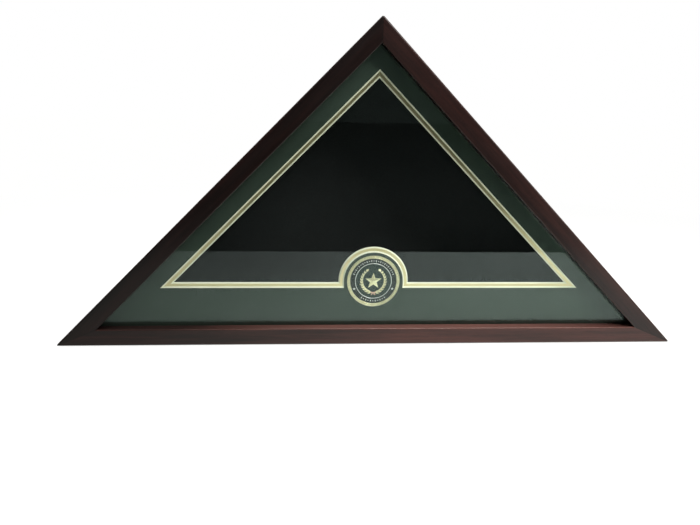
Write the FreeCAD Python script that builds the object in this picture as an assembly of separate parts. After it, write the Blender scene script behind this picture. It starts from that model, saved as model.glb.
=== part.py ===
import FreeCAD, Part
import math
import os

# Free-standing triangular display case for a folded flag.
# Row frame, millimetres: X to the right, Y from front to back, Z up.
# Origin: centre of the underside of the base rail, half way through the depth.
# "u" is the distance inwards from an outer side face of the triangle, and
# "v" is the distance back from the front face.

# ---------------------------------------------------------------- dimensions
WIDTH = 673.0            # base length between the virtual sharp corners
HEIGHT = WIDTH / 2.0     # right-angled isosceles triangle, 45-90-45
DEPTH = 95.0             # front face to rear edge of the rails
TIP_FLAT = 2.0           # height of the blunt end at each 45 degree corner
APEX_FLAT = 1.1          # drop of the small flat on the top corner

FACE = 18.0              # width of the plain front face
LIP = 12.0               # depth of the lip that retains the glass
WALL = 11.5              # wall thickness behind the lip
R_OUTER = 1.6            # eased outer front arris
R_LIP = 1.1              # eased inner front arris
R_REAR = 1.0             # eased outer rear arris

GLASS_T = 2.5
EDGE_GAP = 0.5           # sheet goods stop short of the rail walls by this
MAT_T = 1.4              # one mat board, bevel cut at 45 degrees
MAT_SIDE = 34.8          # top mat opening, from the sloping outer faces
MAT_BOTTOM = 59.6        # top mat opening, from the underside
REVEAL = 3.0             # flat of the lower mat that shows
PAD_R = 32.1             # radius of the raised bay around the medallion

MED_D = 57.15            # medallion diameter, 2 1/4 inch
MED_Z = 67.2             # height of the medallion's centre
MED_FIT = 0.15           # radial gap of the medallion in the mats
MED_PLATE_T = 1.4        # back plate of the medallion
MED_RIM_W = 3.3          # width of the raised rim
MED_RIM_H = 0.8          # rim height over the plate
MED_RING_R = 19.65       # mean radius of the thin inner ring
MED_RING_W = 0.7
MED_RING_H = 0.5
ENAMEL_T = 0.3
STAR_R = 9.2             # centre star, outer radius
STAR_IN = 3.7            # centre star, inner radius
STAR_BASE = 0.38         # height of the star's edge over the plate
STAR_PEAK = 0.75         # height of the star's peak over the plate
ADH_T = 0.5              # adhesive foam
ADH_R = 26.0
BACKER_T = 1.4
BACKER_R = 37.0

LINER_T = 5.0            # spacer strip thickness
FELT_T = 1.0
BACK_T = 3.0             # hardboard back, flush with the rear edge
BRAD_R = 0.6
BRAD_HEAD_R = 1.3
BRAD_HEAD_T = 0.5
BRAD_L = 13.0

BTN_T = 1.2              # turn button
BTN_GAP = 0.05           # button to rail
BTN_R = 5.0              # round end on the pivot
BTN_TIP_R = 3.4          # round free end
BTN_REACH = 19.6         # pivot to the centre of the free end
BTN_HOLE_R = 1.80
SCREW_R = 1.75
SCREW_L = 12.0           # length in the wood
HEAD_R = 3.5
HEAD_H = 2.3
VNAIL_LEG = 3.2          # half width of a V-nail across the mitre
VNAIL_RISE = 1.6
VNAIL_T = 0.7
VNAIL_L = 10.0

# ------------------------------------------------------------------- helpers
HALF = WIDTH / 2.0
R2 = math.sqrt(2.0)
INR = HALF * (R2 - 1.0)          # incentre height of the triangle
S = R2 / 2.0

V_GLASS0 = LIP
V_GLASS1 = V_GLASS0 + GLASS_T
V_GREEN1 = V_GLASS1 + MAT_T
V_GOLD1 = V_GREEN1 + MAT_T
V_PANEL0 = DEPTH - BACK_T
V_FELT0 = V_PANEL0 - FELT_T


def pt(x, v, z):
    return FreeCAD.Vector(x, v - DEPTH / 2.0, z)


def wire_xz(points, v):
    ps = [pt(x, v, z) for x, z in points]
    return Part.makePolygon(ps + [ps[0]])


def prism_xz(points, v0, v1):
    face = Part.Face(wire_xz(points, v0))
    return face.extrude(FreeCAD.Vector(0, v1 - v0, 0))


def triangle(u, tip=0.0):
    """Corners of the triangle inset by u, acute tips cut off by tip."""
    za = HEIGHT - u * R2
    xb = HALF - u * (R2 + 1.0)
    if tip <= 0:
        return [(-xb, u), (xb, u), (0.0, za)]
    return [(-xb + tip, u), (xb - tip, u), (xb - tip, u + tip),
            (0.0, za), (-xb + tip, u + tip)]


def cyl(x, z, r, v0, v1):
    return Part.makeCylinder(r, v1 - v0, pt(x, v0, z), FreeCAD.Vector(0, 1, 0))


# Each side: start corner, end corner, inward direction, along direction (x, z)
SIDES = {
    "base": ((-HALF, 0.0), (HALF, 0.0), (0.0, 1.0), (1.0, 0.0)),
    "left": ((-HALF, 0.0), (0.0, HEIGHT), (S, -S), (S, S)),
    "right": ((HALF, 0.0), (0.0, HEIGHT), (-S, -S), (-S, S)),
}
LENGTH = {"base": WIDTH, "left": WIDTH * S, "right": WIDTH * S}


def on_side(side, along, u, v):
    a, b, n, t = SIDES[side]
    return pt(a[0] + along * t[0] + u * n[0], v, a[1] + along * t[1] + u * n[1])


def mitre_prism(side, v0, v1):
    a, b, n, t = SIDES[side]
    return prism_xz([a, b, (0.0, INR)], v0, v1)


def envelope():
    """Everything inside the blunted corner tips."""
    return prism_xz([(-HALF + TIP_FLAT, -5.0), (HALF - TIP_FLAT, -5.0),
                     (HALF - TIP_FLAT, HEIGHT - APEX_FLAT),
                     (-HALF + TIP_FLAT, HEIGHT - APEX_FLAT)], -5.0, DEPTH + 5.0)


def arc(side, cu, cv, r, a0, a1):
    """Arc in a rail's section, angles in degrees in the (u, v) plane."""
    p = []
    for a in (a0, 0.5 * (a0 + a1), a1):
        w = math.radians(a)
        p.append(on_side(side, -12.0, cu + r * math.cos(w), cv + r * math.sin(w)))
    return Part.Arc(p[0], p[1], p[2]).toShape()


def rail(side):
    """L-shaped moulding: deep wall with a lip in front, mitred at both ends."""
    def q(u, v):
        return on_side(side, -12.0, u, v)

    def line(p0, p1):
        return Part.makeLine(q(*p0), q(*p1))

    edges = [
        arc(side, R_OUTER, R_OUTER, R_OUTER, 180, 270),
        line((R_OUTER, 0), (FACE - R_LIP, 0)),
        arc(side, FACE - R_LIP, R_LIP, R_LIP, 270, 360),
        line((FACE, R_LIP), (FACE, LIP)),
        line((FACE, LIP), (WALL, LIP)),
        line((WALL, LIP), (WALL, DEPTH)),
        line((WALL, DEPTH), (R_REAR, DEPTH)),
        arc(side, R_REAR, DEPTH - R_REAR, R_REAR, 90, 180),
        line((0, DEPTH - R_REAR), (0, R_OUTER)),
    ]
    face = Part.Face(Part.Wire(edges))
    t = SIDES[side][3]
    length = LENGTH[side] + 24.0
    bar = face.extrude(FreeCAD.Vector(t[0] * length, 0, t[1] * length))
    return bar.common(mitre_prism(side, -2.0, DEPTH + 2.0)).common(envelope())


def liner(side):
    a, b, n, t = SIDES[side]
    u0, u1 = WALL, WALL + LINER_T
    p = []
    for along, u in ((-2.0, u0), (LENGTH[side] + 2.0, u0),
                     (LENGTH[side] + 2.0, u1), (-2.0, u1)):
        p.append((a[0] + along * t[0] + u * n[0], a[1] + along * t[1] + u * n[1]))
    strip = prism_xz(p, V_GOLD1, V_FELT0)
    return strip.common(mitre_prism(side, 0.0, DEPTH))


def v_nail(corner):
    """V-shaped staple that straddles a mitre, seen from behind."""
    if corner == "apex":
        o, m = (0.0, HEIGHT), (0.0, -1.0)
        mid = 0.5 * WALL * R2
    else:
        s = -1.0 if corner == "left" else 1.0
        w = math.radians(22.5)
        o, m = (s * HALF, 0.0), (-s * math.cos(w), math.sin(w))
        mid = 0.5 * WALL / math.sin(w)
    k = (-m[1], m[0])
    h, r, t = VNAIL_LEG, VNAIL_RISE, VNAIL_T
    pts = [(-r / 2, 0), (r / 2, h), (r / 2 + t, h), (-r / 2 + t * 1.15, 0),
           (r / 2 + t, -h), (r / 2, -h)]
    out = []
    for a, c in pts:
        d = mid + a - t / 2
        out.append((o[0] + d * m[0] + c * k[0], o[1] + d * m[1] + c * k[1]))
    return prism_xz(out, DEPTH - VNAIL_L, DEPTH)


def opening_wire(e, v):
    """Mat opening, shrunk by e towards the middle of the window."""
    zb = MAT_BOTTOM + e
    us = MAT_SIDE + e
    xb = HALF - us * R2 - zb
    za = HEIGHT - us * R2
    rb = PAD_R + e
    p = [pt(-xb, v, zb), pt(-rb, v, zb), pt(-rb, v, MED_Z), pt(0, v, MED_Z + rb),
         pt(rb, v, MED_Z), pt(rb, v, zb), pt(xb, v, zb), pt(0, v, za)]
    return Part.Wire([
        Part.makeLine(p[0], p[1]), Part.makeLine(p[1], p[2]),
        Part.Arc(p[2], p[3], p[4]).toShape(),
        Part.makeLine(p[4], p[5]), Part.makeLine(p[5], p[6]),
        Part.makeLine(p[6], p[7]), Part.makeLine(p[7], p[0])])


def mat(e0, v0):
    """Mat board with a 45 degree bevel round its opening."""
    sheet = prism_xz(triangle(WALL + EDGE_GAP, 2.0), v0, v0 + MAT_T)
    x = 0.2
    cutter = Part.makeLoft([opening_wire(e0 - x, v0 - x),
                            opening_wire(e0 + MAT_T + x, v0 + MAT_T + x)],
                           True, True)
    hole = cyl(0, MED_Z, MED_D / 2 + MED_FIT, v0 - 1, v0 + MAT_T + 1)
    return sheet.cut(cutter).cut(hole)


def ring(r_in, r_out, v0, v1):
    return cyl(0, MED_Z, r_out, v0, v1).cut(cyl(0, MED_Z, r_in, v0 - 1, v1 + 1))


def star_points(r_out, r_in):
    p = []
    for i in range(10):
        w = math.radians(90.0 + 36.0 * i)
        r = r_out if i % 2 == 0 else r_in
        p.append((r * math.cos(w), MED_Z + r * math.sin(w)))
    return p


def star(v_plate):
    """Five-pointed star: short straight edge, then ten facets to a peak."""
    pts = star_points(STAR_R, STAR_IN)
    v_edge = v_plate - STAR_BASE
    peak = pt(0, v_plate - STAR_PEAK, MED_Z)
    lower = [pt(x, v_plate, z) for x, z in pts]
    upper = [pt(x, v_edge, z) for x, z in pts]
    faces = [Part.Face(Part.makePolygon(lower + [lower[0]]))]
    n = len(pts)
    for i in range(n):
        j = (i + 1) % n
        faces.append(Part.Face(Part.makePolygon(
            [lower[i], lower[j], upper[j], upper[i], lower[i]])))
        faces.append(Part.Face(Part.makePolygon([upper[i], upper[j], peak, upper[i]])))
    solid = Part.Solid(Part.Shell(faces))
    if solid.Volume < 0:
        solid.reverse()
    return solid


# ------------------------------------------------------------- turn buttons
# side, distance of the pivot from the side's start corner, and the sense in
# which the free end lies along the side when the back is free to come out
BUTTONS = {
    "base_left_turn_button": ("base", 170.0, 1),
    "base_right_turn_button": ("base", WIDTH - 170.0, -1),
    "left_lower_turn_button": ("left", 120.0, 1),
    "left_upper_turn_button": ("left", 356.0, -1),
    "right_lower_turn_button": ("right", 120.0, 1),
    "right_upper_turn_button": ("right", 356.0, -1),
}
PIVOT_U = WALL / 2.0
V_BTN0 = DEPTH + BTN_GAP
V_BTN1 = V_BTN0 + BTN_T
V_HEAD0 = V_BTN1 + BTN_GAP


def pivot(name):
    side, along, sense = BUTTONS[name]
    a, b, n, t = SIDES[side]
    return (a[0] + along * t[0] + PIVOT_U * n[0], a[1] + along * t[1] + PIVOT_U * n[1])


def turn_button(name):
    """Flat tapered plate with round ends, pierced for its screw."""
    side, along, sense = BUTTONS[name]
    t = SIDES[side][3]
    d = (t[0] * sense, t[1] * sense)
    k = (-d[1], d[0])
    cx, cz = pivot(name)
    # tangent points of the two end circles
    w = math.acos((BTN_R - BTN_TIP_R) / BTN_REACH)
    ca, sa = math.cos(w), math.sin(w)

    def q(a, c, v):
        return pt(cx + a * d[0] + c * k[0], v, cz + a * d[1] + c * k[1])

    def edge_loop(v, r0, r1):
        return Part.Wire([
            Part.Arc(q(r0 * ca, r0 * sa, v), q(-r0, 0, v), q(r0 * ca, -r0 * sa, v)).toShape(),
            Part.makeLine(q(r0 * ca, -r0 * sa, v), q(BTN_REACH + r1 * ca, -r1 * sa, v)),
            Part.Arc(q(BTN_REACH + r1 * ca, -r1 * sa, v), q(BTN_REACH + r1, 0, v),
                     q(BTN_REACH + r1 * ca, r1 * sa, v)).toShape(),
            Part.makeLine(q(BTN_REACH + r1 * ca, r1 * sa, v), q(r0 * ca, r0 * sa, v))])

    body = Part.Face(edge_loop(V_BTN0, BTN_R, BTN_TIP_R)).extrude(
        FreeCAD.Vector(0, BTN_T, 0))
    rear = [e for e in body.Edges
            if all(abs(p.Point.y - (V_BTN1 - DEPTH / 2)) < 1e-6 for p in e.Vertexes)]
    body = body.makeFillet(0.35, rear)
    return body.cut(cyl(cx, cz, BTN_HOLE_R, V_BTN0 - 1, V_BTN1 + 1))


def screw(cx, cz):
    """Pan-head screw; the thread is taken as a plain shank in the wood."""
    head = cyl(cx, cz, HEAD_R, V_HEAD0, V_HEAD0 + HEAD_H)
    y_top = V_HEAD0 + HEAD_H - DEPTH / 2
    crown = [e for e in head.Edges if len(e.Vertexes) and
             all(abs(p.Point.y - y_top) < 1e-6 for p in e.Vertexes) and e.Length > 1 and
             abs(e.BoundBox.YLength) < 1e-6]
    head = head.makeFillet(1.5, crown)
    for w in (0.0, 90.0):
        slot = Part.makeBox(3.8, 1.4, 0.8, FreeCAD.Vector(-1.9, 0, -0.4))
        slot.rotate(FreeCAD.Vector(0, 0, 0), FreeCAD.Vector(0, 1, 0), w + 20.0)
        slot.translate(pt(cx, V_HEAD0 + HEAD_H - 1.2, cz))
        head = head.cut(slot)
    tip = 3.0
    shank = cyl(cx, cz, SCREW_R, DEPTH - SCREW_L + tip, V_HEAD0 + 0.2)
    cone = Part.makeCone(0.25, SCREW_R, tip, pt(cx, DEPTH - SCREW_L, cz),
                         FreeCAD.Vector(0, 1, 0))
    return head.fuse([shank, cone]).removeSplitter()


def brad(side, along, v):
    n = SIDES[side][2]
    outward = FreeCAD.Vector(-n[0], 0, -n[1])
    u = WALL + LINER_T
    head = Part.makeCylinder(BRAD_HEAD_R, BRAD_HEAD_T, on_side(side, along, u, v), outward)
    stem = Part.makeCylinder(BRAD_R, BRAD_L, on_side(side, along, u, v), outward)
    return head.fuse(stem).removeSplitter()


# ---------------------------------------------------------------- build it
nodes = {}

screws = [screw(*pivot(n)) for n in BUTTONS]
v_nails = [v_nail(c) for c in ("left", "right", "apex")]
BRADS = {"base": (90.0, 255.0, 418.0, 583.0), "left": (75.0, 238.0, 400.0),
         "right": (75.0, 238.0, 400.0)}
brads = [brad(s, a, 72.0) for s in BRADS for a in BRADS[s]]

for side in SIDES:
    r = rail(side)
    for tool in screws + v_nails + brads:
        if r.BoundBox.intersect(tool.BoundBox):
            r = r.cut(tool)
    nodes[side + "_rail"] = r
    s = liner(side)
    for tool in brads:
        if s.BoundBox.intersect(tool.BoundBox):
            s = s.cut(tool)
    nodes[side + "_liner"] = s

nodes["corner_v_nails"] = Part.makeCompound(v_nails)
nodes["liner_brads"] = Part.makeCompound(brads)
nodes["turn_button_screws"] = Part.makeCompound(screws)

nodes["glass_pane"] = prism_xz(triangle(WALL + EDGE_GAP, 2.0), V_GLASS0, V_GLASS1)
nodes["green_mat"] = mat(0.0, V_GLASS1)
nodes["gold_mat"] = mat(MAT_T + REVEAL, V_GREEN1)

# medallion: plate, rim, thin ring and star are one casting
v_plate1 = V_GOLD1 - ADH_T
v_plate0 = v_plate1 - MED_PLATE_T
rim = ring(MED_D / 2 - MED_RIM_W, MED_D / 2, v_plate0 - MED_RIM_H, v_plate0)
y_rim = v_plate0 - MED_RIM_H - DEPTH / 2
rim_edges = [e for e in rim.Edges if abs(e.BoundBox.YLength) < 1e-6 and
             abs(e.BoundBox.YMin - y_rim) < 1e-6]
rim = rim.makeFillet(0.55, rim_edges)
plate = cyl(0, MED_Z, MED_D / 2, v_plate0, v_plate1)
thin = ring(MED_RING_R - MED_RING_W / 2, MED_RING_R + MED_RING_W / 2,
            v_plate0 - MED_RING_H, v_plate0)
emblem = star(v_plate0)
nodes["medallion_body"] = plate.fuse([rim, thin, emblem]).removeSplitter()

star_hole = prism_xz(star_points(STAR_R, STAR_IN), v_plate0 - 2, v_plate0 + 1)
nodes["medallion_enamel"] = Part.makeCompound([
    ring(MED_RING_R + MED_RING_W / 2, MED_D / 2 - MED_RIM_W,
         v_plate0 - ENAMEL_T, v_plate0),
    cyl(0, MED_Z, MED_RING_R - MED_RING_W / 2, v_plate0 - ENAMEL_T, v_plate0).cut(star_hole)])
nodes["medallion_adhesive"] = cyl(0, MED_Z, ADH_R, v_plate1, V_GOLD1)
nodes["medallion_backer"] = cyl(0, MED_Z, BACKER_R, V_GOLD1, V_GOLD1 + BACKER_T)

nodes["back_panel"] = prism_xz(triangle(WALL + EDGE_GAP, 2.0), V_PANEL0, DEPTH)
nodes["back_felt"] = prism_xz(triangle(WALL + EDGE_GAP + 0.5, 2.0), V_FELT0, V_PANEL0)
for name in BUTTONS:
    nodes[name] = turn_button(name)

for name, shape in sorted(nodes.items()):
    if not shape.isValid():
        raise RuntimeError("invalid shape: " + name)
    solids = shape.Solids
    if not solids:
        raise RuntimeError("no solid: " + name)
    out = solids[0] if len(solids) == 1 else Part.makeCompound(solids)
    out.exportStep("parts/" + name + ".step")
    bb = out.BoundBox
    print("%-26s solids %d vol %10.1f  x %8.2f %8.2f  y %7.2f %7.2f  z %7.2f %7.2f" % (
        name, len(solids), out.Volume, bb.XMin, bb.XMax, bb.YMin, bb.YMax, bb.ZMin, bb.ZMax))
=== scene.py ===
import bpy
import math
from mathutils import Vector, Matrix


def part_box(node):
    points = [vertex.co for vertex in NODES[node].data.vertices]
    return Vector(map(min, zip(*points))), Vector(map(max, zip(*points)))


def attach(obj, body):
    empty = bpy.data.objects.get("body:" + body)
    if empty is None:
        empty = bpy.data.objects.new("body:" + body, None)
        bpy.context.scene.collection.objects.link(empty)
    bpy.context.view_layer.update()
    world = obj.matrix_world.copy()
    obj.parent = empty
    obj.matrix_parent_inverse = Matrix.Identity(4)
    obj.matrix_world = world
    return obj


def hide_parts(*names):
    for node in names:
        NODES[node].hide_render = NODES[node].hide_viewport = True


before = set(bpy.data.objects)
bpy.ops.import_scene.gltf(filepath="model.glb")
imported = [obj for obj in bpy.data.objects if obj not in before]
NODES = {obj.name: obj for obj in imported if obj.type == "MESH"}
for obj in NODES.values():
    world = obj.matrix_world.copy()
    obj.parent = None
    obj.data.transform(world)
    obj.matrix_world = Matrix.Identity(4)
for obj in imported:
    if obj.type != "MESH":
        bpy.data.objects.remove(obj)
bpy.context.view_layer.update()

# ------------------------------------------------------------ measurements
RAIL_LO, RAIL_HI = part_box("base_rail")
Y_FRONT = RAIL_LO.y                      # front face of the frame
Y_REAR = RAIL_HI.y
FACE = RAIL_HI.z                         # width of the front face
HALF = 0.3365                            # half the base, to the sharp corner
SIDE_U = HALF * math.sqrt(0.5)           # outer face of a sloping rail, rotated
MED_LO, MED_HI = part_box("medallion_body")
MED_C = Vector(((MED_LO.x + MED_HI.x) / 2, 0, (MED_LO.z + MED_HI.z) / 2))
MED_R = (MED_HI.x - MED_LO.x) / 2
GLASS_Y1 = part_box("glass_pane")[1].y     # rear of the glass
PLATE_Y1 = MED_HI.y                      # back of the medallion
PLATE_Y = PLATE_Y1 - 0.0014              # face of its plate

sc = bpy.context.scene
sc.view_settings.view_transform = "Standard"
sc.view_settings.look = "None"
sc.cycles.use_denoising = True
sc.cycles.sampling_pattern = "TABULATED_SOBOL"   # the denoiser takes blue noise for a texture
sc.cycles.max_bounces = 10
sc.cycles.transparent_max_bounces = 16
sc.cycles.caustics_reflective = False
sc.cycles.caustics_refractive = False


# ------------------------------------------------------------ node helpers
class Graph:
    """Small helper for building node trees."""

    def __init__(self, name):
        self.mat = bpy.data.materials.new(name)
        self.mat.use_nodes = True
        self.t = self.mat.node_tree
        self.t.nodes.clear()
        self.out = self.t.nodes.new("ShaderNodeOutputMaterial")

    def node(self, kind, **values):
        n = self.t.nodes.new(kind)
        for k, v in values.items():
            setattr(n, k, v)
        return n

    def put(self, socket, value):
        if isinstance(value, bpy.types.NodeSocket):
            self.t.links.new(value, socket)
        elif value is not None:
            if hasattr(socket, "default_value"):
                d = socket.default_value
                if hasattr(d, "__len__") and len(d) == 4 and hasattr(value, "__len__") and len(value) == 3:
                    value = (*value, 1.0)
            socket.default_value = value

    def math(self, op, a, b=None, c=None, clamp=False):
        n = self.node("ShaderNodeMath", operation=op, use_clamp=clamp)
        for i, v in enumerate((a, b, c)):
            if v is not None:
                self.put(n.inputs[i], v)
        return n.outputs[0]

    def vmath(self, op, a, b=None):
        n = self.node("ShaderNodeVectorMath", operation=op)
        self.put(n.inputs[0], a)
        if b is not None:
            self.put(n.inputs[1], b)
        return n.outputs["Value"] if op in ("DOT_PRODUCT", "LENGTH", "DISTANCE") else n.outputs[0]

    def coords(self):
        return self.node("ShaderNodeTexCoord").outputs["Object"]

    def mapping(self, vec, loc=(0, 0, 0), rot=(0, 0, 0), scale=(1, 1, 1)):
        n = self.node("ShaderNodeMapping")
        self.put(n.inputs["Vector"], vec)
        n.inputs["Location"].default_value = loc
        n.inputs["Rotation"].default_value = rot
        n.inputs["Scale"].default_value = scale
        return n.outputs[0]

    def xyz(self, vec):
        n = self.node("ShaderNodeSeparateXYZ")
        self.put(n.inputs[0], vec)
        return n.outputs[0], n.outputs[1], n.outputs[2]

    def noise(self, vec, scale=1.0, detail=3.0, rough=0.5, distortion=0.0):
        n = self.node("ShaderNodeTexNoise")
        self.put(n.inputs["Vector"], vec)
        n.inputs["Scale"].default_value = scale
        n.inputs["Detail"].default_value = detail
        n.inputs["Roughness"].default_value = rough
        n.inputs["Distortion"].default_value = distortion
        return n.outputs["Fac"]

    def ramp(self, fac, stops, interpolation="LINEAR"):
        n = self.node("ShaderNodeValToRGB")
        self.put(n.inputs[0], fac)
        r = n.color_ramp
        r.interpolation = interpolation
        while len(r.elements) < len(stops):
            r.elements.new(0.5)
        for e, (pos, col) in zip(r.elements, stops):
            e.position = pos
            e.color = (*col, 1.0) if hasattr(col, "__len__") else (col, col, col, 1.0)
        return n.outputs["Color"]

    def remap(self, v, a, b, c=0.0, d=1.0, smooth=False):
        n = self.node("ShaderNodeMapRange")
        if smooth:
            n.interpolation_type = "SMOOTHSTEP"
        self.put(n.inputs["Value"], v)
        n.inputs["From Min"].default_value = a
        n.inputs["From Max"].default_value = b
        n.inputs["To Min"].default_value = c
        n.inputs["To Max"].default_value = d
        return n.outputs[0]

    def mix(self, fac, a, b, blend="MIX"):
        n = self.node("ShaderNodeMix", data_type="RGBA", blend_type=blend)
        n.clamp_factor = True
        self.put(n.inputs["Factor"], fac)
        self.put(n.inputs[6], a)
        self.put(n.inputs[7], b)
        return n.outputs[2]

    def bump(self, height, strength, distance, normal=None):
        n = self.node("ShaderNodeBump")
        self.put(n.inputs["Height"], height)
        n.inputs["Strength"].default_value = strength
        n.inputs["Distance"].default_value = distance
        if normal is not None:
            self.put(n.inputs["Normal"], normal)
        return n.outputs[0]

    def principled(self, **values):
        n = self.node("ShaderNodeBsdfPrincipled")
        for k, v in values.items():
            self.put(n.inputs[k.replace("_", " ")], v)
        self.t.links.new(n.outputs[0], self.out.inputs[0])
        return n


# --------------------------------------------------------------- materials
def wood(name, angle, shift, painted_light_tone=1.0, base=False):
    """Dark mahogany stain under satin lacquer; the grain runs along the rail."""
    g = Graph(name)
    p = g.mapping(g.coords(), rot=(0, angle, 0))
    along, depth, across = g.xyz(p)
    q = g.mapping(p, loc=shift)
    band = g.noise(g.mapping(q, scale=(2.2, 26, 52)), 1.0, 3.0, 0.55, 0.6)
    ribbon = g.noise(g.mapping(q, scale=(9, 60, 150)), 1.0, 3.0, 0.6)
    fibre = g.noise(g.mapping(q, scale=(24, 620, 620)), 1.0, 5.0, 0.65)
    pore = g.noise(g.mapping(q, scale=(95, 2300, 2300)), 1.0, 2.0, 0.5)
    streak = g.math("ADD", g.math("MULTIPLY", band, 0.42),
                    g.math("ADD", g.math("MULTIPLY", ribbon, 0.33), g.math("MULTIPLY", fibre, 0.25)))
    stops = [(0.30, (0.0092, 0.0046, 0.0041)), (0.44, (0.0238, 0.0096, 0.0083)),
             (0.55, (0.0460, 0.0160, 0.0132)), (0.70, (0.0830, 0.0275, 0.0210))]
    colour = g.ramp(streak, [(at, tuple(c * painted_light_tone for c in rgb)) for at, rgb in stops])
    pores = g.remap(pore, 0.58, 0.74, 0.0, 1.0, smooth=True)
    colour = g.mix(g.math("MULTIPLY", pores, 0.45), colour, (0.0042 * painted_light_tone, 0.0019 * painted_light_tone, 0.0015 * painted_light_tone))
    if base:    # painted shade: darker towards the left end, away from the light at the right
        colour = g.mix(g.remap(along, -0.31, 0.02, 0.68, 0.0, smooth=True), colour, (0.0040, 0.0024, 0.0021))

    # distance in from the outer side face, and from the edges of the section
    u = across if base else g.math("SUBTRACT", SIDE_U, across)
    v = g.math("SUBTRACT", depth, Y_FRONT)
    wander = g.noise(g.mapping(q, scale=(40, 260, 260)), 1.0, 4.0, 0.7)

    def edge(u0, v0, width):
        du, dv = g.math("SUBTRACT", u, u0), g.math("SUBTRACT", v, v0)
        d = g.math("SQRT", g.math("ADD", g.math("MULTIPLY", du, du), g.math("MULTIPLY", dv, dv)))
        d = g.math("ADD", d, g.math("MULTIPLY", g.math("SUBTRACT", wander, 0.5), width * 0.9))
        return g.remap(d, width * 0.35, width, 1.0, 0.0, smooth=True)

    # lighter edges: partly wear of the stain on the arrises, partly a painted highlight where light catches them
    wear_and_highlight = g.math("MAXIMUM", g.math("MULTIPLY", edge(FACE, 0.0, 0.0013), 0.45 if base else 0.30),
                  g.math("MULTIPLY", edge(0.0, 0.0, 0.0020), 0.22))
    wear_and_highlight = g.math("MAXIMUM", wear_and_highlight, g.math("MULTIPLY", edge(0.0, Y_REAR - Y_FRONT, 0.002), 0.40))
    # painted highlight: on the base the lighter edges fade towards the left end, away from the light
    if base:
        wear_and_highlight = g.math("MULTIPLY", wear_and_highlight, g.remap(along, -0.28, 0.02, 0.12, 0.85, smooth=True))
    colour = g.mix(wear_and_highlight, colour, (0.120 * painted_light_tone, 0.036 * painted_light_tone, 0.021 * painted_light_tone))
    if base:    # painted light: the up-facing top of the lip is lightened, little at the left end and less at the right end
        nx, ny, nz = g.xyz(g.node("ShaderNodeNewGeometry").outputs["True Normal"])
        painted_lip_light = g.math("MULTIPLY", g.math("MULTIPLY", g.remap(nz, 0.55, 0.95), g.math("LESS_THAN", v, 0.0130)),
                      g.math("MULTIPLY", g.remap(along, -0.21, -0.02, 0.0, 0.80, smooth=True),
                             g.remap(along, 0.15, 0.29, 1.0, 0.25, smooth=True)))
        colour = g.mix(painted_lip_light, colour, g.mix(fibre, (0.100, 0.042, 0.034), (0.165, 0.078, 0.064)))

    # hairline where two rails meet at a mitre
    w = math.radians(22.5)
    x, y_, z = g.xyz(g.coords())
    ax = g.math("SUBTRACT", HALF, g.math("ABSOLUTE", x))
    corner = g.math("ABSOLUTE", g.math("SUBTRACT", g.math("MULTIPLY", ax, math.sin(w)),
                                       g.math("MULTIPLY", z, math.cos(w))))
    top = g.math("MULTIPLY", g.math("ABSOLUTE", x), 1.0)
    high = g.math("GREATER_THAN", z, 0.2)
    gap = g.math("ADD", g.math("MULTIPLY", top, high),
                 g.math("MULTIPLY", corner, g.math("SUBTRACT", 1.0, high)))
    seam = g.remap(gap, 0.00012, 0.00042, 1.0, 0.0, smooth=True)
    colour = g.mix(g.math("MULTIPLY", seam, 0.85), colour, (0.003, 0.0015, 0.0012))

    peel = g.noise(g.mapping(p, scale=(170, 170, 170)), 1.0, 2.0, 0.5)
    height = g.math("SUBTRACT", g.math("MULTIPLY", fibre, 0.30), g.math("MULTIPLY", pores, 0.40))
    height = g.math("SUBTRACT", height, g.math("MULTIPLY", seam, 1.6))
    normal = g.bump(height, 0.35, 0.00010)
    coat_normal = g.bump(g.math("ADD", g.math("MULTIPLY", peel, 1.0), g.math("MULTIPLY", height, 0.15)),
                         0.22, 0.00020)
    rough = g.remap(g.noise(g.mapping(q, scale=(14, 120, 120)), 1.0, 4.0, 0.6), 0.3, 0.7, 0.34, 0.44)
    g.principled(Base_Color=colour, Roughness=rough, Normal=normal, IOR=1.5,
                 Specular_IOR_Level=0.20, Coat_Weight=0.27,
                 Coat_Roughness=g.remap(peel, 0.3, 0.7, 0.17, 0.24), Coat_IOR=1.45,
                 Coat_Normal=coat_normal)
    return g.mat


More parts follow.
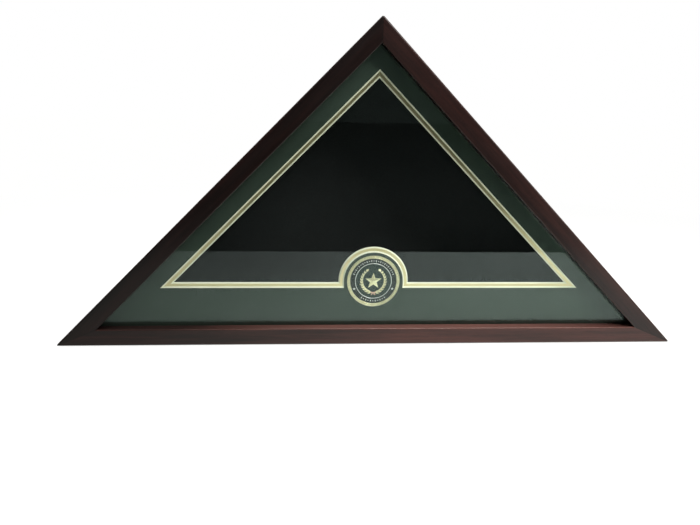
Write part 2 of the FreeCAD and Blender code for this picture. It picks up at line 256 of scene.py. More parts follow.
def cut_board(name, surface, rough, metal, bump_h, grain_scale):
    """Mat board: a coloured face paper, with the pale core showing on cut edges."""
    g = Graph(name)
    p = g.coords()
    nx, ny, nz = g.xyz(g.node("ShaderNodeNewGeometry").outputs["True Normal"])
    cut = g.math("LESS_THAN", g.math("ABSOLUTE", ny), 0.95)
    x, y, z = g.xyz(p)
    layer = g.noise(g.mapping(p, scale=(60, 5200, 60)), 1.0, 2.0, 0.5)
    fluff = g.noise(p, 2600.0, 3.0, 0.6)
    core = g.mix(g.remap(layer, 0.35, 0.65), (0.86, 0.845, 0.63), (0.92, 0.91, 0.72))
    core = g.mix(g.remap(fluff, 0.45, 0.75, 0.0, 0.15), core, (0.66, 0.63, 0.44))
    face = surface(g, p)
    rear = g.math("GREATER_THAN", ny, 0.95)
    lining = g.mix(g.remap(g.noise(p, 420.0, 4.0, 0.65), 0.35, 0.65), (0.52, 0.505, 0.45), (0.60, 0.585, 0.53))
    face = g.mix(rear, face, lining)
    cut = g.math("MAXIMUM", cut, rear)
    colour = g.mix(g.math("SUBTRACT", cut, rear), face, core)
    # painted shade: the board darkens in a band just above the lip, where the lip shades it
    painted_shade = g.remap(z, FACE + 0.0032, FACE + 0.0042, 0.45, 1.0, smooth=True)   # painted shade just above the lip
    colour = g.mix(g.math("SUBTRACT", 1.0, painted_shade), colour, (0.004, 0.004, 0.003))
    tooth = g.noise(p, grain_scale, 4.0, 0.65)
    normal = g.bump(tooth, bump_h, 0.00010)
    r = rough(g, p) if callable(rough) else rough
    rr = g.node("ShaderNodeMix", data_type="FLOAT")
    g.put(rr.inputs[0], cut)
    g.put(rr.inputs[2], r)
    rr.inputs[3].default_value = 0.85
    mm = g.math("MULTIPLY", g.math("SUBTRACT", 1.0, cut), metal)
    g.principled(Base_Color=colour, Roughness=rr.outputs[0], Metallic=mm, Normal=normal,
                 Specular_IOR_Level=0.35)
    return g.mat


def green_face(g, p):
    cloud = g.noise(p, 22.0, 4.0, 0.6)
    fibre = g.noise(g.mapping(p, rot=(0, 0.5, 0), scale=(420, 420, 1500)), 1.0, 4.0, 0.65)
    c = g.mix(g.remap(cloud, 0.3, 0.7), (0.0200, 0.0335, 0.0226), (0.0250, 0.0415, 0.0280))
    return g.mix(g.remap(fibre, 0.42, 0.72, 0.0, 0.30), c, (0.038, 0.060, 0.042))


def gold_face(g, p):
    cloud = g.noise(p, 30.0, 3.0, 0.5)
    fleck = g.noise(p, 1900.0, 3.0, 0.6)
    c = g.mix(g.remap(cloud, 0.3, 0.7), (0.86, 0.705, 0.390), (0.93, 0.775, 0.445))
    c = g.mix(g.remap(fleck, 0.40, 0.75, 0.0, 0.40), c, (1.0, 0.88, 0.60))
    x, y, z = g.xyz(p)
    # painted shade: the gold face darkens higher up and, low down, towards the right, standing for how the light
    # falls
    right = g.math("MULTIPLY", g.remap(x, 0.04, 0.16, 0.0, 0.30, smooth=True), g.remap(z, 0.066, 0.085, 1.0, 0.0))
    painted_shade = g.math("MAXIMUM", g.remap(z, 0.095, 0.175, 0.0, 0.68, smooth=True), right)
    return g.mix(painted_shade, c, (0.36, 0.295, 0.150))


def gold_rough(g, p):
    return g.remap(g.noise(p, 900.0, 3.0, 0.6), 0.3, 0.7, 0.30, 0.42)


def glass():
    """Clear pane: lets everything through and mirrors by Fresnel's law."""
    g = Graph("clear_glass")
    geo = g.node("ShaderNodeNewGeometry")
    cos = g.math("ABSOLUTE", g.vmath("DOT_PRODUCT", geo.outputs["Incoming"], geo.outputs["True Normal"]))
    inv = g.math("SUBTRACT", 1.0, cos, clamp=True)
    fres = g.math("ADD", 0.026, g.math("MULTIPLY", g.math("POWER", inv, 5.0), 0.974), clamp=True)
    gl = g.node("ShaderNodeBsdfGlossy")
    smear = g.noise(g.mapping(g.coords(), scale=(16, 16, 34)), 1.0, 5.0, 0.6)
    g.put(gl.inputs["Color"], g.mix(g.remap(smear, 0.35, 0.70), (0.90, 0.97, 0.95), (0.95, 1.0, 0.99)))
    gl.inputs["Roughness"].default_value = 0.0
    tr = g.node("ShaderNodeBsdfTransparent")
    g.put(tr.inputs["Color"], (0.968, 0.985, 0.976))
    m = g.node("ShaderNodeMixShader")
    g.put(m.inputs[0], fres)
    g.t.links.new(tr.outputs[0], m.inputs[1])
    g.t.links.new(gl.outputs[0], m.inputs[2])
    g.t.links.new(m.outputs[0], g.out.inputs[0])
    return g.mat


def plated(name, light, dark, rough, speck=1500.0, bump=0.25, metal=0.80):
    """Cast and plated metal, with a random tarnish."""
    g = Graph(name)
    p = g.coords()
    tarnish = g.noise(p, 160.0, 4.0, 0.65)
    grain = g.noise(p, speck, 3.0, 0.6)
    c = g.mix(g.remap(tarnish, 0.38, 0.66), dark, light)
    normal = g.bump(grain, bump, 0.00006)
    g.principled(Base_Color=c, Metallic=metal, Normal=normal,
                 Roughness=g.remap(grain, 0.3, 0.7, rough, rough + 0.14))
    return g.mat


def rim_plate():
    """The gold plate of the casting, with painted shade in the rope's crevices and along its borders."""
    mat = plated("gold_plate_casting", (1.0, 0.93, 0.62), (0.84, 0.75, 0.46), 0.24)
    g = Graph.__new__(Graph)
    g.mat, g.t = mat, mat.node_tree
    bsdf = next(n for n in g.t.nodes if n.type == "BSDF_PRINCIPLED")
    x, y, z = g.xyz(g.coords())
    z = g.math("SUBTRACT", z, MED_C.z)
    r = g.math("SQRT", g.math("ADD", g.math("MULTIPLY", x, x), g.math("MULTIPLY", z, z)))
    mid = (MED_R * 1000.0 - 3.3 + 0.50 + MED_R * 1000.0 - 0.66) / 2000.0
    s = g.math("DIVIDE", g.math("SUBTRACT", r, mid), 0.00108)
    twist = g.math("ADD", g.math("MULTIPLY", g.math("ARCTAN2", z, x), 42.0), g.math("MULTIPLY", s, 1.15))
    dip = g.math("SUBTRACT", 1.0, g.math("ABSOLUTE", g.math("COSINE", twist)))
    inside = g.math("LESS_THAN", g.math("ABSOLUTE", s), 1.12)
    groove_shade = g.math("MULTIPLY", g.remap(dip, 0.45, 0.95, 0.0, 1.0, smooth=True), inside)
    gutter_shade = g.math("MULTIPLY", g.remap(g.math("ABSOLUTE", s), 0.82, 1.0, 0.0, 1.0, smooth=True), inside)
    # painted shade between the strands and along the rope's borders
    dark = g.math("MAXIMUM", g.math("MULTIPLY", groove_shade, 0.55), g.math("MULTIPLY", gutter_shade, 0.45))
    g.put(bsdf.inputs["Base Color"], g.mix(dark, bsdf.inputs["Base Color"].links[0].from_socket, (0.16, 0.125, 0.06)))
    return mat


def enamel():
    g = Graph("enamel")
    p = g.coords()
    x, y, z = g.xyz(p)
    r = g.math("SQRT", g.math("ADD", g.math("POWER", x, 2.0),
                              g.math("POWER", g.math("SUBTRACT", z, MED_C.z), 2.0)))
    inner = g.math("LESS_THAN", r, 0.01965)
    depth = g.noise(p, 260.0, 3.0, 0.55)
    green = g.mix(depth, (0.0085, 0.020, 0.0150), (0.014, 0.030, 0.0215))
    black = g.mix(depth, (0.0060, 0.0085, 0.0070), (0.0100, 0.0130, 0.0105))
    c = g.mix(inner, black, green)
    g.principled(Base_Color=c, Roughness=g.remap(depth, 0.3, 0.7, 0.26, 0.36),
                 Specular_IOR_Level=0.28, Normal=g.bump(depth, 0.15, 0.0001))
    return g.mat


def felt():
    g = Graph("black_felt")
    p = g.coords()
    fuzz = g.noise(p, 1300.0, 5.0, 0.75)
    hair = g.noise(g.mapping(p, rot=(0, 0.7, 0), scale=(300, 900, 2400)), 1.0, 4.0, 0.7, 1.5)
    patch = g.noise(p, 18.0, 3.0, 0.6)
    k = g.math("ADD", g.math("MULTIPLY", fuzz, 0.5), g.math("MULTIPLY", hair, 0.5))
    c = g.ramp(k, [(0.32, (0.0045, 0.0050, 0.0049)), (0.52, (0.0100, 0.0112, 0.0109)),
                   (0.72, (0.023, 0.0255, 0.025))])
    c = g.mix(g.remap(patch, 0.35, 0.65, 0.0, 0.35), c, (0.0075, 0.0084, 0.0082))
    g.principled(Base_Color=c, Roughness=0.95, Specular_IOR_Level=0.1,
                 Sheen_Weight=0.25, Sheen_Roughness=0.6, Sheen_Tint=(0.35, 0.36, 0.38),
                 Normal=g.bump(k, 0.5, 0.0004))
    return g.mat


def black_stain(name, angle):
    g = Graph(name)
    p = g.mapping(g.coords(), rot=(0, angle, 0))
    fibre = g.noise(g.mapping(p, scale=(20, 500, 500)), 1.0, 4.0, 0.6)
    wide = g.noise(g.mapping(p, scale=(5, 60, 60)), 1.0, 3.0, 0.6)
    c = g.ramp(g.math("ADD", g.math("MULTIPLY", fibre, 0.6), g.math("MULTIPLY", wide, 0.4)),
               [(0.35, (0.0045, 0.0043, 0.0045)), (0.65, (0.0135, 0.0125, 0.0120))])
    g.principled(Base_Color=c, Roughness=g.remap(fibre, 0.3, 0.7, 0.62, 0.78),
                 Specular_IOR_Level=0.3, Normal=g.bump(fibre, 0.6, 0.0002))
    return g.mat


def hardboard():
    """Pressed fibre board: smooth mottled face, rougher cut edge."""
    g = Graph("hardboard")
    p = g.coords()
    nx, ny, nz = g.xyz(g.node("ShaderNodeNewGeometry").outputs["True Normal"])
    rim = g.math("LESS_THAN", g.math("ABSOLUTE", ny), 0.5)
    mottle = g.noise(p, 42.0, 6.0, 0.7)
    chips = g.noise(g.mapping(p, rot=(0, 0.35, 0), scale=(260, 260, 900)), 1.0, 4.0, 0.7, 2.2)
    chips2 = g.noise(g.mapping(p, rot=(0, -1.0, 0), scale=(310, 300, 1100)), 1.0, 4.0, 0.7, 2.0)
    k = g.math("ADD", g.math("MULTIPLY", mottle, 0.34),
               g.math("ADD", g.math("MULTIPLY", chips, 0.33), g.math("MULTIPLY", chips2, 0.33)))
    c = g.ramp(k, [(0.33, (0.034, 0.018, 0.0105)), (0.47, (0.072, 0.039, 0.0215)),
                   (0.57, (0.102, 0.057, 0.032)), (0.70, (0.150, 0.090, 0.052))])
    edge = g.noise(g.mapping(p, scale=(700, 3600, 700)), 1.0, 4.0, 0.7)
    c = g.mix(rim, c, g.ramp(edge, [(0.35, (0.045, 0.026, 0.016)), (0.65, (0.135, 0.085, 0.052))]))
    scuff = g.noise(g.mapping(p, rot=(0, 0.2, 0), scale=(14, 14, 120)), 1.0, 5.0, 0.75)
    c = g.mix(g.remap(scuff, 0.60, 0.78, 0.0, 0.25), c, (0.21, 0.145, 0.095))
    g.principled(Base_Color=c, Roughness=g.remap(mottle, 0.3, 0.7, 0.42, 0.60),
                 Specular_IOR_Level=0.4, Normal=g.bump(k, 0.35, 0.00018))
    return g.mat


def zinc(name, angle=0.0, spin=False):
    g = Graph(name)
    p = g.coords()
    grain = g.noise(g.mapping(p, rot=(0, angle, 0), scale=(260, 2600, 4200)), 1.0, 4.0, 0.6)
    spangle = g.node("ShaderNodeTexVoronoi")
    g.put(spangle.inputs["Vector"], p)
    spangle.inputs["Scale"].default_value = 520.0
    cell = g.node("ShaderNodeSeparateColor")
    g.put(cell.inputs[0], spangle.outputs["Color"])
    dull = g.noise(p, 340.0, 4.0, 0.65)
    c = g.mix(g.remap(cell.outputs[0], 0.0, 1.0, 0.0, 0.6), (0.56, 0.57, 0.57), (0.70, 0.70, 0.68))
    c = g.mix(g.remap(dull, 0.5, 0.75, 0.0, 0.6), c, (0.40, 0.385, 0.35))
    g.principled(Base_Color=c, Metallic=1.0, Roughness=g.remap(grain, 0.3, 0.7, 0.24, 0.42),
                 Normal=g.bump(grain, 0.35, 0.00004))
    return g.mat


def plain(name, a, b, scale, rough, bump=0.3):
    g = Graph(name)
    p = g.coords()
    n = g.noise(p, scale, 4.0, 0.65)
    n2 = g.noise(p, scale * 0.06, 3.0, 0.6)
    c = g.mix(g.remap(g.math("ADD", g.math("MULTIPLY", n, 0.6), g.math("MULTIPLY", n2, 0.4)), 0.35, 0.65), a, b)
    g.principled(Base_Color=c, Roughness=rough, Normal=g.bump(n, bump, 0.0003))
    return g.mat


def paint(obj, mat):
    obj.data.materials.clear()
    obj.data.materials.append(mat)


A45 = math.radians(45)
# painted light: each rail gets its own brightness, the base lightest and the left rail darkest, standing for light
# from the right
paint(NODES["base_rail"], wood("stained_wood_base", 0.0, (0.0, 0.0, 0.0), 1.12, base=True))
paint(NODES["left_rail"], wood("stained_wood_left", A45, (3.1, 0.7, 1.3), 0.23))
paint(NODES["right_rail"], wood("stained_wood_right", -A45, (7.7, 2.3, 4.9), 0.52))


def glass_sheet():
    """The pane with seamed edges, its rear face 0.2 mm clear of the mat: two
    faces in the same plane would hide each other in patches."""
    import bmesh
    bm = bmesh.new()
    bm.from_mesh(NODES["glass_pane"].data)
    bmesh.ops.remove_doubles(bm, verts=bm.verts, dist=1e-6)
    bmesh.ops.dissolve_limit(bm, angle_limit=0.01, verts=bm.verts, edges=bm.edges)
    for v in bm.verts:
        if v.co.y > GLASS_Y1 - 0.0005:
            v.co.y = GLASS_Y1 - 0.0002
    rim = [e for e in bm.edges if len(e.link_faces) == 2 and
           max(abs(f.normal.y) for f in e.link_faces) > 0.99 and
           min(abs(f.normal.y) for f in e.link_faces) < 0.01]
    bmesh.ops.bevel(bm, geom=rim, offset=0.0003, segments=1, affect="EDGES")
    bmesh.ops.recalc_face_normals(bm, faces=bm.faces)
    me = bpy.data.meshes.new("glass_sheet")
    bm.to_mesh(me)
    bm.free()
    ob = bpy.data.objects.new("glass_sheet", me)
    sc.collection.objects.link(ob)
    me.materials.append(glass())
    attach(ob, "case")
    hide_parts("glass_pane")


glass_sheet()
paint(NODES["green_mat"], cut_board("green_mat_board", green_face, 0.80, 0.0, 0.40, 1500.0))
paint(NODES["gold_mat"], cut_board("gold_mat_board", gold_face, gold_rough, 0.84, 0.22, 1700.0))
GOLD = plated("gold_plate", (1.0, 0.93, 0.62), (0.84, 0.75, 0.46), 0.24)
SILVER = plated("bright_plate", (0.93, 0.93, 0.90), (0.78, 0.78, 0.75), 0.24)
ROSE = plated("rose_plate", (0.86, 0.56, 0.43), (0.60, 0.34, 0.24), 0.26)
paint(NODES["medallion_enamel"], enamel())
paint(NODES["medallion_adhesive"], plain("foam_tape", (0.72, 0.72, 0.68), (0.82, 0.82, 0.79), 1800.0, 0.8))
paint(NODES["medallion_backer"], plain("grey_card", (0.36, 0.33, 0.28), (0.48, 0.44, 0.38), 700.0, 0.85))
paint(NODES["base_liner"], black_stain("black_liner_base", 0.0))
paint(NODES["left_liner"], black_stain("black_liner_left", A45))
paint(NODES["right_liner"], black_stain("black_liner_right", -A45))
paint(NODES["back_felt"], felt())
paint(NODES["back_panel"], hardboard())
ZINC = zinc("zinc_plate")
for n in ("turn_button_screws", "corner_v_nails", "liner_brads"):
    paint(NODES[n], ZINC)
for n in NODES:
    if n.endswith("_turn_button"):
        paint(NODES[n], zinc("zinc_" + n, {"base": 0.0, "left": A45, "right": -A45}[n.split("_")[0]]))


# --------------------------------------------------------------- medallion
class Relief:
    """Collects relief shapes on the medallion. Positions are in mm from its
    centre, and h is the height in mm over the face of its plate."""

    def __init__(self):
        self.v, self.f, self.smooth = [], [], []

    def add(self, verts, faces, smooth=True):
        o = len(self.v)
        self.v += verts
        self.f += [tuple(o + i for i in face) for face in faces]
        self.smooth += [smooth] * len(faces)

    def lathe(self, profile, seg=192, closed=True, smooth=True):
        verts, faces = [], []
        n = len(profile)
        for i in range(seg):
            a = 2 * math.pi * i / seg
            for r, h in profile:
                verts.append((r * math.cos(a), r * math.sin(a), h))
        rings = n if closed else n - 1
        for i in range(seg):
            j = (i + 1) % seg
            for k in range(rings):
                m = (k + 1) % n
                faces.append((i * n + k, i * n + m, j * n + m, j * n + k))
        self.add(verts, faces, smooth)

    def dome(self, cx, cy, rx, ry, turn, h0, h1, seg=14, rings=4):
        ca, sa = math.cos(turn), math.sin(turn)
        verts, faces = [], []
        for k in range(rings):
            t = 0.5 * math.pi * k / rings
            for i in range(seg):
                a = 2 * math.pi * i / seg
                x, y = rx * math.cos(a) * math.cos(t), ry * math.sin(a) * math.cos(t)
                verts.append((cx + x * ca - y * sa, cy + x * sa + y * ca, h0 + (h1 - h0) * math.sin(t)))
        top = len(verts)
        verts.append((cx, cy, h1))
        for k in range(rings - 1):
            for i in range(seg):
                j = (i + 1) % seg
                faces.append((k * seg + i, k * seg + j, (k + 1) * seg + j, (k + 1) * seg + i))
        for i in range(seg):
            faces.append(((rings - 1) * seg + i, (rings - 1) * seg + (i + 1) % seg, top))
        faces.append(tuple(reversed(range(seg))))
        self.add(verts, faces)

    def star(self, cx, cy, r_out, r_in, turn, h0, h_edge, h_peak, border=0.0, points=5):
        n = points * 2
        verts, faces = [], []

        def loop(scale_out, scale_in, h):
            for i in range(n):
                a = math.pi / 2 + turn + math.pi * i / points
                r = scale_out if i % 2 == 0 else scale_in
                verts.append((cx + r * math.cos(a), cy + r * math.sin(a), h))

        loop(r_out, r_in, h0)
        loop(r_out, r_in, h_edge)
        rows = 2
        if border > 0:
            k = 1 - border / r_in
            loop(r_out * k, r_in * k, h_edge + 0.02)
            loop(r_out * k * 0.97, r_in * k * 0.95, h_edge - 0.10)
            rows = 4
        top = len(verts)
        verts.append((cx, cy, h_peak))
        for row in range(rows - 1):
            for i in range(n):
                j = (i + 1) % n
                faces.append((row * n + i, row * n + j, (row + 1) * n + j, (row + 1) * n + i))
        for i in range(n):
            faces.append(((rows - 1) * n + i, (rows - 1) * n + (i + 1) % n, top))
        faces.append(tuple(reversed(range(n))))
        self.add(verts, faces, smooth=False)

    def leaf(self, cx, cy, length, width, turn, h0, h_edge, h_rib, bend=0.0, seg=8):
        """Almond leaf with a raised midrib; (cx, cy) is its stalk end."""
        ca, sa = math.cos(turn), math.sin(turn)
        left, right, rib, base_l, base_r = [], [], [], [], []
        verts, faces = [], []

        def at(s, t):
            x = s * length
            y = t + bend * length * s * s
            return cx + x * ca - y * sa, cy + x * sa + y * ca

        for k in range(seg + 1):
            s = k / seg
            w = 0.5 * width * math.sin(math.pi * min(1.0, s ** 0.85)) ** 0.9
            w = max(w, 0.05)
            hr = h_edge + (h_rib - h_edge) * math.sin(math.pi * (0.08 + 0.84 * s)) ** 0.6
            for lst, t, h in ((base_l, w, h0), (left, w, h_edge), (rib, 0.0, hr),
                              (right, -w, h_edge), (base_r, -w, h0)):
                x, y = at(s, t)
                lst.append(len(verts))
                verts.append((x, y, h))
        for k in range(seg):
            for a, b in ((base_l, left), (left, rib), (rib, right), (right, base_r), (base_r, base_l)):
                faces.append((a[k], a[k + 1], b[k + 1], b[k]))
        faces.append((base_l[0], left[0], rib[0], right[0], base_r[0]))
        faces.append((base_r[-1], right[-1], rib[-1], left[-1], base_l[-1]))
        self.add(verts, faces, smooth=False)

    def tube(self, pts, radius, h, seg=8):
        """A half-buried round stem along points in the plane."""
        verts, faces = [], []
        n = len(pts)
        for k, (x, y) in enumerate(pts):
            x0, y0 = pts[max(0, k - 1)]
            x1, y1 = pts[min(n - 1, k + 1)]
            d = math.hypot(x1 - x0, y1 - y0) or 1.0
            nx, ny = -(y1 - y0) / d, (x1 - x0) / d
            taper = radius(k / (n - 1)) if callable(radius) else radius
            for i in range(seg):
                a = 2 * math.pi * i / seg
                o = taper * math.cos(a)
                verts.append((x + nx * o, y + ny * o, h + taper * math.sin(a)))
        for k in range(n - 1):
            for i in range(seg):
                j = (i + 1) % seg
                faces.append((k * seg + i, k * seg + j, (k + 1) * seg + j, (k + 1) * seg + i))
        faces.append(tuple(reversed(range(seg))))
        faces.append(tuple((n - 1) * seg + i for i in range(seg)))
        self.add(verts, faces)

    def build(self, name, mat):
        me = bpy.data.meshes.new(name)
        verts = [(MED_C.x + x * 0.001, PLATE_Y - h * 0.001, MED_C.z + y * 0.001) for x, y, h in self.v]
        me.from_pydata(verts, [], self.f)
        me.update()
        import bmesh
        bm = bmesh.new()
        bm.from_mesh(me)
        bmesh.ops.recalc_face_normals(bm, faces=bm.faces)
        bm.to_mesh(me)
        bm.free()
        me.polygons.foreach_set("use_smooth", self.smooth)
        me.materials.append(mat)
        ob = bpy.data.objects.new(name, me)
        sc.collection.objects.link(ob)
        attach(ob, "case")
        return ob


R_OUT = MED_R * 1000.0            # 28.575
R_RIM = R_OUT - 3.3               # inner edge of the rim
RING = 19.65                      # middle of the thin ring
casting = Relief()
casting.lathe([(0.001, -1.4), (R_OUT - 0.25, -1.4), (R_OUT - 0.07, -1.33), (R_OUT, -1.15),
               (R_OUT, 0.45), (R_OUT - 0.05, 0.60), (R_OUT - 0.17, 0.72), (R_OUT - 0.33, 0.77),
               (R_OUT - 0.49, 0.72), (R_OUT - 0.60, 0.58), (R_OUT - 0.66, 0.36),
               (R_RIM + 0.50, 0.36), (R_RIM + 0.44, 0.58), (R_RIM + 0.33, 0.70), (R_RIM + 0.22, 0.73),
               (R_RIM + 0.10, 0.68), (R_RIM + 0.03, 0.54), (R_RIM, 0.30), (R_RIM, 0.0), (0.001, 0.0)],
              seg=240)
# rope between the two plain borders: strands laid slantwise round the rim
rc, rw, strands, seg_t, seg_p = (R_RIM + 0.50 + R_OUT - 0.66) / 2, 1.08, 84, 84 * 8, 10
verts, faces = [], []
for i in range(seg_t):
    a = 2 * math.pi * i / seg_t
    for k in range(seg_p + 1):
        s = -1 + 2 * k / seg_p
        twist = strands * a / 2 + s * 1.15
        lobe = abs(math.cos(twist)) ** 0.55
        arch = math.sqrt(max(0.0, 1 - s * s))
        verts.append(((rc + rw * s) * math.cos(a), (rc + rw * s) * math.sin(a),
                      0.30 + 0.46 * arch * (0.42 + 0.58 * lobe)))
    verts.append(((rc + rw) * math.cos(a), (rc + rw) * math.sin(a), 0.10))
    verts.append(((rc - rw) * math.cos(a), (rc - rw) * math.sin(a), 0.10))
m = seg_p + 3
for i in range(seg_t):
    j = (i + 1) % seg_t
    for k in range(m):
        l = (k + 1) % m
        faces.append((i * m + k, i * m + l, j * m + l, j * m + k))
casting.add(verts, faces)
ob = casting.build("medallion_casting", rim_plate())
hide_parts("medallion_body")

# thin ring, beads and darts in the outer field, and two small stars
silver = Relief()
silver.lathe([(RING - 0.35, 0.0), (RING - 0.35, 0.30), (RING - 0.25, 0.44), (RING, 0.52),
              (RING + 0.25, 0.44), (RING + 0.35, 0.30), (RING + 0.35, 0.0)], seg=240)
RM = 0.5 * (RING + 0.35 + R_RIM)
for lo, hi, count in ((20.0, 160.0, 23), (236.0, 304.0, 11)):
    for i in range(count):
        a = math.radians(lo + (hi - lo) * i / (count - 1))
        cx, cy = RM * math.cos(a), RM * math.sin(a)
        if i % 2 == 0:
            silver.star(cx, cy, 1.55, 0.50, a - math.pi / 2, 0.26, 0.40, 0.62, points=2)
        else:
            silver.dome(cx, cy, 0.55, 0.55, 0.0, 0.26, 0.62, seg=12, rings=3)
for deg in (203.0, -23.0):
    a = math.radians(deg)
    silver.star(RM * math.cos(a), RM * math.sin(a), 1.75, 0.75, 0.0, 0.26, 0.42, 0.70)
silver.build("medallion_ring_and_beads", SILVER)

# laurel wreath round the centre star
laurel = Relief()
for side in (1, -1):
    stem = []
    for k in range(33):
        t = k / 32
        a = math.radians(-90 + side * (7 + 141 * t))
        r = 13.5 - 0.9 * math.sin(math.pi * t) + 0.3 * t
        stem.append((r * math.cos(a), r * math.sin(a)))
    laurel.tube(stem, lambda s: 0.34 - 0.18 * s, 0.34)
    leaves = 11
    for i in range(leaves):
        t = 0.055 + 0.93 * i / (leaves - 1)
        k = min(31, int(t * 32))
        (x0, y0), (x1, y1) = stem[k], stem[k + 1]
        heading = math.atan2(y1 - y0, x1 - x0)
        size = 1.0 - 0.30 * t
        for flip in (1, -1):
            laurel.leaf(x0, y0, 4.2 * size, 1.75 * size, heading + flip * math.radians(34),
                        0.26, 0.34, 0.66 if flip > 0 else 0.62, bend=-flip * 0.16)
        if i in (2, 4, 6, 8):
            laurel.dome(x0 + 0.5 * math.cos(heading + side * 1.5), y0 + 0.5 * math.sin(heading + side * 1.5),
                        0.40, 0.40, 0.0, 0.30, 0.70, seg=10, rings=3)
    laurel.leaf(*stem[-1], 3.0, 1.3, math.atan2(stem[-1][1] - stem[-2][1], stem[-1][0] - stem[-2][0]),
                0.26, 0.34, 0.62)
laurel.build("medallion_laurel", GOLD)

centre = Relief()
centre.star(0, 0, 9.2, 3.9, 0.0, 0.0, 0.38, 0.76, border=0.42)
centre.build("medallion_star", GOLD)
bow = Relief()
for side in (1, -1):
    bow.dome(side * 1.75, -13.1, 1.75, 0.95, side * 0.35, 0.28, 0.68, seg=18, rings=4)
    bow.leaf(side * 0.3, -13.6, 3.4, 1.25, math.radians(-90 + side * 36), 0.26, 0.36, 0.58, bend=side * 0.10)
bow.dome(0, -13.2, 0.85, 0.85, 0.0, 0.30, 0.78, seg=14, rings=4)
bow.build("medallion_bow", ROSE)


# ------------------------------------------------------------------- stage
def floor():
    me = bpy.data.meshes.new("floor")
    s = 6.0
    me.from_pydata([(-s, -s, 0), (s, -s, 0), (s, s, 0), (-s, s, 0)], [], [(0, 1, 2, 3)])
    ob = bpy.data.objects.new("floor", me)
    sc.collection.objects.link(ob)
    ob.location.z = -0.0002
    g = Graph("pale_floor")
    lp = g.node("ShaderNodeLightPath")
    x, y, z = g.xyz(g.coords())
    d = g.node("ShaderNodeBsdfDiffuse")
    # the table ends in front of the case, so mirrors and bounced light see it stop there, painted dark beyond;
    # for these rays its colour is also painted paler on the right, standing for the light from that side
    seen = lp.outputs["Is Camera Ray"]
    beyond = g.math("MULTIPLY", g.math("LESS_THAN", y, Y_FRONT - TABLE), g.math("SUBTRACT", 1.0, seen))
    front = g.math("LESS_THAN", y, Y_FRONT + 0.02)
    side = g.math("MULTIPLY", front, g.math("SUBTRACT", 1.0, seen))
    across = g.remap(x, -0.32, 0.42)
    left_right = g.math("ADD", 0.15, g.math("MULTIPLY", across, 0.23))
    pale = g.mix(side, (0.80, 0.79, 0.775), g.mix(left_right, (0, 0, 0), (0.78, 0.80, 0.80)))
    g.put(d.inputs["Color"], g.mix(beyond, pale, (0.030, 0.033, 0.032)))
    e = g.node("ShaderNodeEmission")
    g.put(e.inputs["Color"], (1.0, 1.0, 0.997))
    g.put(e.inputs["Strength"], 1.0)
    away = g.math("SQRT", g.math("ADD", g.math("MULTIPLY", x, x), g.math("MULTIPLY", y, y)))
    fade = g.remap(away, 0.45, 1.2, FLOOR_WHITE, 1.0, smooth=True)
    m = g.node("ShaderNodeMixShader")
    g.put(m.inputs[0], g.math("MULTIPLY", seen, fade))
    g.t.links.new(d.outputs[0], m.inputs[1])
    g.t.links.new(e.outputs[0], m.inputs[2])
    # painted light: the table strip in front of the case glows for bounced and mirrored rays, brighter to the right,
    # standing for the light it throws up on to the case and its reflection in the glass
    table = g.math("MULTIPLY", front, g.math("GREATER_THAN", y, Y_FRONT - TABLE))
    near = g.remap(y, Y_FRONT - 0.30, Y_FRONT - 0.05)
    profile = g.ramp(across, SHEEN)
    far = g.mix(near, g.ramp(across, SHEEN_FAR), (1, 1, 1))
    sheen = g.math("MULTIPLY", lp.outputs["Is Glossy Ray"], g.math("MULTIPLY", profile, far))
    diffuse = g.math("MULTIPLY", lp.outputs["Is Diffuse Ray"],
                     g.math("ADD", BOUNCE_LEFT, g.math("MULTIPLY", across, BOUNCE_RIGHT - BOUNCE_LEFT)))
    up = g.node("ShaderNodeEmission")
    g.put(up.inputs["Color"], g.mix(lp.outputs["Is Glossy Ray"], (0.97, 1.0, 0.97), (0.86, 1.0, 0.93)))
    g.put(up.inputs["Strength"], g.math("MULTIPLY", table, g.math("ADD", diffuse, sheen)))
    both = g.node("ShaderNodeAddShader")
    g.t.links.new(m.outputs[0], both.inputs[0])
    g.t.links.new(up.outputs[0], both.inputs[1])
    g.t.links.new(both.outputs[0], g.out.inputs[0])
    me.materials.append(g.mat)
    return ob


TABLE = 0.390
# SHEEN, SHEEN_FAR: strength of the painted reflection of the glowing table, across and further out; BOUNCE: its
# painted bounce light, left and right
SHEEN = [(0.0, 0.34), (0.09, 0.44), (0.19, 0.68), (0.37, 1.02), (0.60, 1.04), (0.80, 0.98), (1.0, 0.94)]
SHEEN_FAR = [(0.0, 1.0), (0.08, 0.95), (0.20, 0.50), (0.36, 0.55), (0.60, 0.88), (0.75, 1.0)]
BOUNCE_LEFT, BOUNCE_RIGHT = 0.58, 1.50
FLOOR_WHITE = 0.60
floor()

world = bpy.data.worlds.new("studio")
sc.world = world
world.use_nodes = True
wt = world.node_tree
wt.nodes.clear()
wo = wt.nodes.new("ShaderNodeOutputWorld")
lp = wt.nodes.new("ShaderNodeLightPath")
tc = wt.nodes.new("ShaderNodeTexCoord")
sep = wt.nodes.new("ShaderNodeSeparateXYZ")
wt.links.new(tc.outputs["Generated"], sep.inputs[0])
ramp = wt.nodes.new("ShaderNodeValToRGB")
rng = wt.nodes.new("ShaderNodeMapRange")
wt.links.new(sep.outputs[2], rng.inputs["Value"])
rng.inputs["From Min"].default_value = -0.2
rng.inputs["From Max"].default_value = 1.0
wt.links.new(rng.outputs[0], ramp.inputs[0])
cr = ramp.color_ramp
cr.elements[0].position, cr.elements[0].color = 0.0, (0.080, 0.100, 0.092, 1)
cr.elements[1].position, cr.elements[1].color = 1.0, (0.30, 0.32, 0.32, 1)
mid = cr.elements.new(0.42)
mid.color = (0.080, 0.100, 0.092, 1)
glossy_bg = wt.nodes.new("ShaderNodeBackground")
wt.links.new(ramp.outputs[0], glossy_bg.inputs[0])
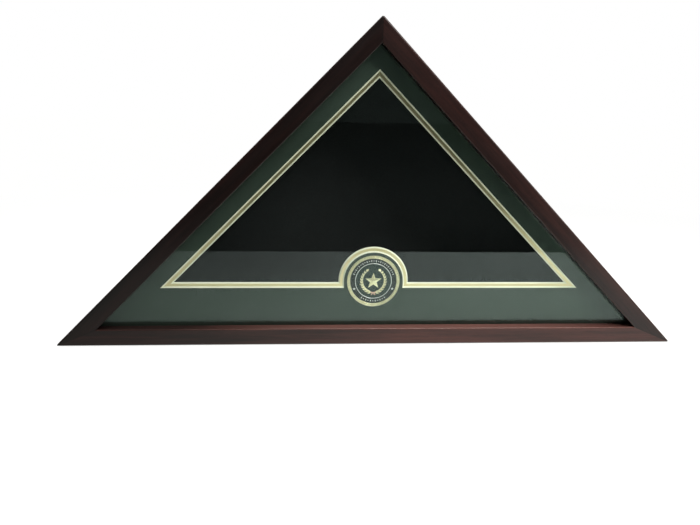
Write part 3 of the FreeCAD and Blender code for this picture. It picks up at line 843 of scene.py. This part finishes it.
glossy_bg.inputs[1].default_value = 1.0
soft_bg = wt.nodes.new("ShaderNodeBackground")
soft_bg.inputs[0].default_value = (0.97, 0.99, 1.0, 1)
soft_bg.inputs[1].default_value = 0.14
white_bg = wt.nodes.new("ShaderNodeBackground")
white_bg.inputs[0].default_value = (1, 1, 1, 1)
white_bg.inputs[1].default_value = 1.0
m1 = wt.nodes.new("ShaderNodeMixShader")
wt.links.new(lp.outputs["Is Glossy Ray"], m1.inputs[0])
wt.links.new(soft_bg.outputs[0], m1.inputs[1])
wt.links.new(glossy_bg.outputs[0], m1.inputs[2])
m2 = wt.nodes.new("ShaderNodeMixShader")
wt.links.new(lp.outputs["Is Camera Ray"], m2.inputs[0])
wt.links.new(m1.outputs[0], m2.inputs[1])
wt.links.new(white_bg.outputs[0], m2.inputs[2])
wt.links.new(m2.outputs[0], wo.inputs[0])


def area(name, loc, target, size, power, colour=(1, 1, 1), size_y=None):
    li = bpy.data.lights.new(name, "AREA")
    li.energy = power
    li.color = colour
    li.shape = "RECTANGLE"
    li.size = size
    li.size_y = size_y or size
    ob = bpy.data.objects.new(name, li)
    ob.location = loc
    ob.rotation_mode = "QUATERNION"
    ob.rotation_quaternion = (Vector(target) - Vector(loc)).to_track_quat("-Z", "Y")
    ob.visible_camera = False
    sc.collection.objects.link(ob)
    return ob


area("key_right", (0.75, -0.85, 1.35), (0.05, 0, 0.10), 0.65, 20.0, (1.0, 0.99, 0.97))
area("side_right", (1.05, -0.62, 0.50), (0.05, -0.03, 0.10), 0.40, 3.0, (1.0, 0.98, 0.97))
area("overhead", (0.20, -0.30, 1.65), (0, -0.1, 0), 0.9, 32.0, (0.99, 1.0, 0.99))
area("rear_fill", (-0.9, 1.5, 1.2), (0, 0, 0.15), 1.2, 20.0, (0.98, 0.99, 1.0))

# ------------------------------------------------------------------ camera
cam = bpy.data.cameras.new("camera")
cam.sensor_width = 36.0
cam.lens = 621.7 / 700.0 * 36.0
cam.clip_start, cam.clip_end = 0.01, 50.0
cam_ob = bpy.data.objects.new("camera", cam)
sc.collection.objects.link(cam_ob)
yaw, pitch, roll = math.radians(-4.178), math.radians(-14.966), math.radians(-1.207)
m = (Matrix.Rotation(yaw, 3, "Z") @ Matrix.Rotation(pitch, 3, "X") @ Matrix.Rotation(roll, 3, "Y"))
right, fwd, up = m.col[0], m.col[1], m.col[2]
rot = Matrix((right, up, -fwd)).transposed()
cam_ob.matrix_world = Matrix.Translation((-0.0730, -0.6767, 0.2607)) @ rot.to_4x4()
sc.camera = cam_ob
